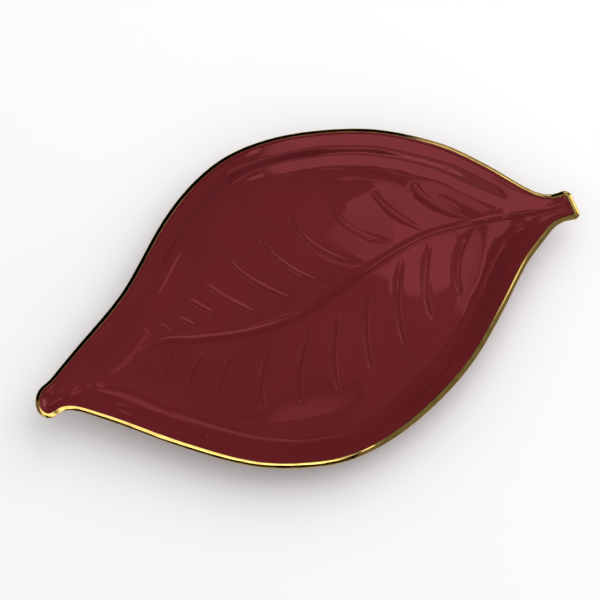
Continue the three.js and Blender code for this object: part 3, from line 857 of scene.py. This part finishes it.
def turn_foot_tree():
    """Sweeps a tapered, rounded section round an oval to make the foot ring."""
    tree, given, result = geometry_tree(
        "turn_foot", Length="Float", Width="Float", Ring_Width="Float", Height="Float", Chamfer="Float",
        Rounding="Float", Middle="Vector", Material="Material",
    )
    ring_width = given["Ring Width"]
    spans = {"Z": 1}
    for axis, label in (("X", "Length"), ("Y", "Width")):
        links = {0: given[label], 1: ring_width}
        spans[axis] = add(tree, "ShaderNodeMath", links, operation="SUBTRACT").outputs[0]
    spread = add(tree, "ShaderNodeCombineXYZ", spans).outputs[0]
    links = {"Resolution": FOOT_STEPS, "Radius": 0.5}
    circle = add(tree, "GeometryNodeCurvePrimitiveCircle", links).outputs["Curve"]
    oval = add(tree, "GeometryNodeTransform", {"Geometry": circle, "Scale": spread}).outputs[0]
    links = {0: given["Chamfer"], 1: -2, 2: ring_width}
    narrow = add(tree, "ShaderNodeMath", links, operation="MULTIPLY_ADD").outputs[0]
    links = {"Bottom Width": narrow, "Top Width": ring_width, "Height": given["Height"], "Offset": 0}
    section = add(tree, "GeometryNodeCurvePrimitiveQuadrilateral", links, mode="TRAPEZOID").outputs[0]
    links = {"Curve": section, "Count": FOOT_ROUND_STEPS, "Radius": given["Rounding"]}
    rounded = add(tree, "GeometryNodeFilletCurve", links, mode="POLY").outputs[0]
    ring = add(tree, "GeometryNodeCurveToMesh", {"Curve": oval, "Profile Curve": rounded}).outputs[0]
    placed = add(tree, "GeometryNodeTransform", {"Geometry": ring, "Translation": given["Middle"]}).outputs[0]
    end_tree(tree, placed, given["Material"], result)
    return tree


def grow(name, mesh, tree, **inputs):
    """An object whose mesh is what the tree makes of a starting mesh with these inputs."""
    piece = in_scene(name, mesh)
    modifier = piece.modifiers.new(tree.name, "NODES")
    modifier.node_group = tree
    identifiers = {item.name: item.identifier for item in tree.interface.items_tree if item.in_out == "INPUT"}
    for label, value in inputs.items():
        modifier[identifiers[label.replace("_", " ")]] = value
    graph = bpy.context.evaluated_depsgraph_get()
    evaluated = piece.evaluated_get(graph)
    made = bpy.data.meshes.new_from_object(evaluated, preserve_all_data_layers=True, depsgraph=graph)
    piece.modifiers.remove(modifier)
    piece.data = made
    made.name = name
    made.shade_smooth()
    made.set_sharp_from_angle(angle=CREASE_ANGLE)
    return piece


# Materials
def linear(hex_colour):
    """Linear colour of an sRGB hex value."""
    shares = [int(hex_colour[i:i + 2], 16) / 255 for i in (1, 3, 5)]
    return *(s / 12.92 if s <= 0.04045 else ((s + 0.055) / 1.055) ** 2.4 for s in shares), 1


def per_mm(size):
    """Texture scale for a pattern of this real size in millimetres."""
    return 1 / (size * MM)


def new_material(name):
    """A material, its node tree and shader, and the Object coordinates that its patterns follow."""
    material = bpy.data.materials.new(name)
    material.use_nodes = True
    tree = material.node_tree
    place = add(tree, "ShaderNodeTexCoord").outputs["Object"]
    return material, tree, tree.nodes["Principled BSDF"], place


def drifting(tree, place, size, low, high, span=NOISE_SPAN):
    """A value that drifts between two levels over patches of this size in millimetres."""
    links = {"Vector": place, "Scale": per_mm(size), "Detail": 2}
    patches = add(tree, "ShaderNodeTexNoise", links).outputs["Fac"]
    links = {"Value": patches, **span, "To Min": low, "To Max": high}
    return add(tree, "ShaderNodeMapRange", links).outputs["Result"]


def two_toned(tree, place, size, first, second, span=NOISE_SPAN):
    """A colour that drifts between two hex colours over patches of this size in millimetres."""
    links = {"Factor": drifting(tree, place, size, 0, 1, span), 6: linear(first), 7: linear(second)}
    return add(tree, "ShaderNodeMix", links, data_type="RGBA").outputs[2]


def bumpy(tree, place, size, height, detail, **below):
    """Normal of bumps of this length and height in millimetres, on the normal below if one is given."""
    links = {"Vector": place, "Scale": per_mm(size), "Detail": detail}
    bumps = add(tree, "ShaderNodeTexNoise", links).outputs["Fac"]
    return add(tree, "ShaderNodeBump", {"Height": bumps, "Distance": height * MM, **below}).outputs[0]


def burgundy_glaze():
    """Gloss earthenware glaze, dipped and fired: deep and wet-looking, darker where it pools in grooves."""
    material, tree, shader, place = new_material("burgundy_gloss_glaze")
    body = two_toned(tree, place, GLAZE_CLOUD, "#611e22", "#672125")
    groove = add(tree, "ShaderNodeAttribute", attribute_name="groove").outputs["Fac"]
    links = {"Value": groove, "From Max": VEIN_DEPTH * MM, "To Max": POOL_DARKENING}
    pooled = add(tree, "ShaderNodeMapRange", links).outputs["Result"]
    waves = bumpy(tree, place, *GLAZE_WAVE, detail=1)
    links = {"Factor": pooled, 6: body, 7: linear("#521619")}
    link(tree, shader, {
        "Base Color": add(tree, "ShaderNodeMix", links, data_type="RGBA").outputs[2],
        "Roughness": drifting(tree, place, GLAZE_GLOSS, *GLAZE_ROUGHNESS),
        "Normal": bumpy(tree, place, *GLAZE_PEEL, detail=1, Normal=waves),
        "IOR": GLAZE_IOR,
        "Specular Tint": linear("#ff8186"),
    })
    return material


def gold_lustre():
    """Overglaze gold lustre, brushed on and fired: polished, with faint brush marks and thin edges."""
    material, tree, shader, place = new_material("gold_lustre")
    link(tree, shader, {
        "Base Color": two_toned(tree, place, GOLD_THIN, "#c2a25c", "#ae8f4d", THIN_SPAN),
        "Roughness": drifting(tree, place, GOLD_GLOSS, *GOLD_ROUGHNESS),
        "Normal": bumpy(tree, place, *GOLD_BRUSH, detail=3),
        "Metallic": 1,
    })
    return material


def bare_clay():
    """Fired white earthenware, sponged before firing: chalky and matt, with fine grain and iron specks."""
    material, tree, shader, place = new_material("bare_white_earthenware")
    body = two_toned(tree, place, CLAY_CLOUD, "#e6dbc9", "#dccdb6")
    links = {"Vector": place, "Scale": per_mm(CLAY_SPECK)}
    apart = add(tree, "ShaderNodeTexVoronoi", links).outputs["Distance"]
    links = {"Value": apart, **SPECK_SPAN, "To Min": SPECK_STRENGTH, "To Max": 0}
    speck = add(tree, "ShaderNodeMapRange", links).outputs["Result"]
    links = {"Factor": speck, 6: body, 7: linear("#9a7a58")}
    link(tree, shader, {
        "Base Color": add(tree, "ShaderNodeMix", links, data_type="RGBA").outputs[2],
        "Roughness": drifting(tree, place, CLAY_DRYNESS, *CLAY_ROUGHNESS),
        "Normal": bumpy(tree, place, *CLAY_GRAIN, detail=4),
    })
    return material


def pale_floor():
    """Painted studio table: a plain matt white with a faint unevenness."""
    material, tree, shader, place = new_material("matt_white_table")
    colour = two_toned(tree, place, TABLE_CLOUD, "#fdfdfd", "#fbfbfb")
    link(tree, shader, {"Base Color": colour, "Roughness": TABLE_ROUGHNESS, "Specular IOR Level": 0})
    return material


# Pieces of the tray
def build_tray():
    clay_finish, glaze_finish, gold_finish = bare_clay(), burgundy_glaze(), gold_lustre()
    veins, rib = line_mesh("vein_lines", vein_paths()), line_mesh("midrib_line", midrib_path())
    clay = grow("clay_leaf", clay_skin(), press_veins_tree(), Veins=veins, Midrib=rib, Material=clay_finish)
    coat = lay_coat_tree()
    dipped = {
        "Thickness": GLAZE_THICKNESS * MM, "Unevenness": GLAZE_UNEVENNESS, "Patch_Size": GLAZE_PATCH * MM,
        "Material": glaze_finish,
    }
    skin = clay.data.copy()
    glaze = grow("burgundy_coat", skin, coat, Patch=GLAZED, Seed=GLAZE_SEED, Pool=GLAZE_POOL, **dipped)
    skin = clay.data.copy()
    recess = grow("recess_coat", skin, coat, Patch=RECESS, Seed=RECESS_SEED, Pool=0.0, **dipped)
    gold = grow(
        "gilded_lip", gold_skin(), coat, Patch=GLAZED, Thickness=(GOLD_THICKNESS + GOLD_SUNK) * MM,
        Unevenness=GOLD_UNEVENNESS, Patch_Size=GOLD_PATCH * MM, Seed=GOLD_SEED, Pool=0.0,
        Material=gold_finish,
    )
    foot = grow(
        "foot", bpy.data.meshes.new("foot"), turn_foot_tree(), Length=FOOT_LENGTH * MM, Width=FOOT_WIDTH * MM,
        Ring_Width=FOOT_RING_WIDTH * MM, Height=FOOT_HEIGHT * MM, Chamfer=FOOT_CHAMFER * MM,
        Rounding=FOOT_ROUND * MM, Middle=(foot_low + foot_high) / 2, Material=clay_finish,
    )
    for lines in (veins, rib):
        bpy.data.objects.remove(lines)
    for piece, node, slot in (
        (clay, "clay_body", "clay"), (foot, "foot_ring", "clay"), (glaze, "glaze_coat", "glaze"),
        (recess, "recess_glaze", "glaze"), (gold, "gold_rim", "gold"),
    ):
        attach(piece, "root")
        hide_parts(node)


# Studio
def stage_mesh(name, corners, faces, material):
    """A mesh for the studio, which is not part of the tray."""
    mesh = bpy.data.meshes.new(name)
    mesh.from_pydata(corners, [], faces)
    mesh.materials.append(material)
    made = in_scene(name, mesh)
    return made


def glowing(name, strength):
    """Even glow that fades out towards the edges of its panel."""
    material = bpy.data.materials.new(name)
    material.use_nodes = True
    tree = material.node_tree
    tree.nodes.clear()
    fade = add(tree, "ShaderNodeAttribute", attribute_name="fade").outputs["Fac"]
    level = add(tree, "ShaderNodeMath", {0: fade, 1: strength}, operation="MULTIPLY").outputs[0]
    glow = add(tree, "ShaderNodeEmission", {"Strength": level}).outputs[0]
    add(tree, "ShaderNodeOutputMaterial", {"Surface": glow})
    return material


def seen_in_reflections(made, fades):
    """Makes a glowing panel show in reflections only, with its glow faded by these shares."""
    made.data.attributes.new("fade", "FLOAT", "POINT").data.foreach_set("value", fades)
    made.visible_camera = made.visible_diffuse = made.visible_shadow = made.visible_transmission = False


def inside_edges(share, fading):
    """Share of the glow at this share of the way across a panel whose edges fade."""
    return smoothstep(min(share, 1 - share), 0, fading) if fading else 1


def panel(name, place_at, strength, fading):
    """A panel seen only in reflections. place_at gives its points from shares across and up it."""
    shares = np.linspace(0, 1, PANEL_STEPS + 1)
    width = len(shares)
    corners = [place_at(across, up) for up in shares for across in shares]
    first = [row * width + column for row in range(PANEL_STEPS) for column in range(PANEL_STEPS)]
    faces = [(i, i + 1, i + width + 1, i + width) for i in first]
    made = stage_mesh(name, corners, faces, glowing(name, strength))
    fades = [inside_edges(across, fading) * inside_edges(up, fading) for up in shares for across in shares]
    seen_in_reflections(made, fades)


def aloft(azimuth, elevation, distance):
    """Point of the studio in a direction from the tray: degrees round from the stem, and above the table."""
    turn, rise = math.radians(azimuth), math.radians(elevation)
    level = distance * math.cos(rise)
    return Vector((level * math.cos(turn), level * math.sin(turn), distance * math.sin(rise)))


def dome_panel(name, azimuths, elevations, strength, fading, distance):
    """A panel on a dome over the tray, between two azimuths and two elevations."""

    def place_at(across, up):
        azimuth = azimuths[0] + (azimuths[1] - azimuths[0]) * across
        elevation = elevations[0] + (elevations[1] - elevations[0]) * up
        return aloft(azimuth, elevation, distance)

    panel(name, place_at, strength, fading)


def level_card(name, corners, height, strength, fading):
    """A level panel above the table, between four corners."""
    left, right, far_right, far_left = np.array(corners)

    def place_at(across, up):
        near = left + (right - left) * across
        far = far_left + (far_right - far_left) * across
        return (*(near + (far - near) * up), height)

    panel(name, place_at, strength, fading)


def key_softbox():
    corners = [(x, y, KEY_HEIGHT) for x, y, _ in KEY_SOFTBOX]
    made = stage_mesh("key_softbox", corners, [range(len(corners))], glowing("key_softbox", KEY_STRENGTH))
    seen_in_reflections(made, [share for _, _, share in KEY_SOFTBOX])


def soft_lamp(name, azimuth, elevation, distance, size, watts):
    """A big soft lamp aimed at the tray, which is not itself seen in reflections."""
    lamp = bpy.data.lights.new(name, "AREA")
    lamp.shape, lamp.size, lamp.energy = "DISK", size, watts
    made = in_scene(name, lamp)
    made.location = aloft(azimuth, elevation, distance)
    made.rotation_euler = made.location.to_track_quat("Z", "Y").to_euler()
    made.visible_glossy = False


def build_camera():
    scene = bpy.context.scene
    turn, rise = math.radians(VIEW_AZIMUTH), math.radians(VIEW_ELEVATION)
    back = Vector((math.sin(turn) * math.cos(rise), -math.cos(turn) * math.cos(rise), math.sin(rise)))
    lens = bpy.data.cameras.new("camera")
    lens.lens, lens.sensor_width = VIEW_LENS, VIEW_SENSOR
    lens.shift_x, lens.shift_y = VIEW_SHIFT
    lens.clip_start = VIEW_NEAREST
    camera = in_scene("camera", lens)
    camera.location = VIEW_TARGET + back * VIEW_DISTANCE
    camera.rotation_euler = back.to_track_quat("Z", "Y").to_euler()
    scene.camera = camera
    scene.view_settings.view_transform = "Standard"


def build_world():
    """White to the eye and in reflections, with a plain level of soft light on everything."""
    world = bpy.data.worlds.new("studio")
    bpy.context.scene.world = world
    world.use_nodes = True
    tree = world.node_tree
    ray = add(tree, "ShaderNodeLightPath").outputs
    seen = ray["Is Camera Ray"]
    for kind in ("Is Glossy Ray", "Is Transmission Ray"):
        seen = add(tree, "ShaderNodeMath", {0: seen, 1: ray[kind]}, operation="MAXIMUM").outputs[0]
    soft, white = (
        add(tree, "ShaderNodeBackground", {"Strength": strength, "Color": linear("#ffffff")}).outputs[0]
        for strength in (SKY_LIGHT, 1)
    )
    both = add(tree, "ShaderNodeMixShader", {0: seen, 1: soft, 2: white}).outputs[0]
    tree.links.new(both, tree.nodes["World Output"].inputs["Surface"])


def build_studio():
    low, high = -TABLE_REACH, TABLE_REACH
    corners = [(low, low, 0), (high, low, 0), (high, high, 0), (low, high, 0)]
    stage_mesh("table", corners, [(0, 1, 2, 3)], pale_floor())
    build_world()
    build_camera()
    for lamp in SOFT_LAMPS:
        soft_lamp(*lamp)
    key_softbox()
    for row in FAR_PANELS:
        dome_panel(*row)
    for card in LEVEL_CARDS:
        level_card(*card)
    for row in NEAR_PANELS:
        dome_panel(*row)
    dome_panel(*SURROUND)


build_tray()
build_studio()
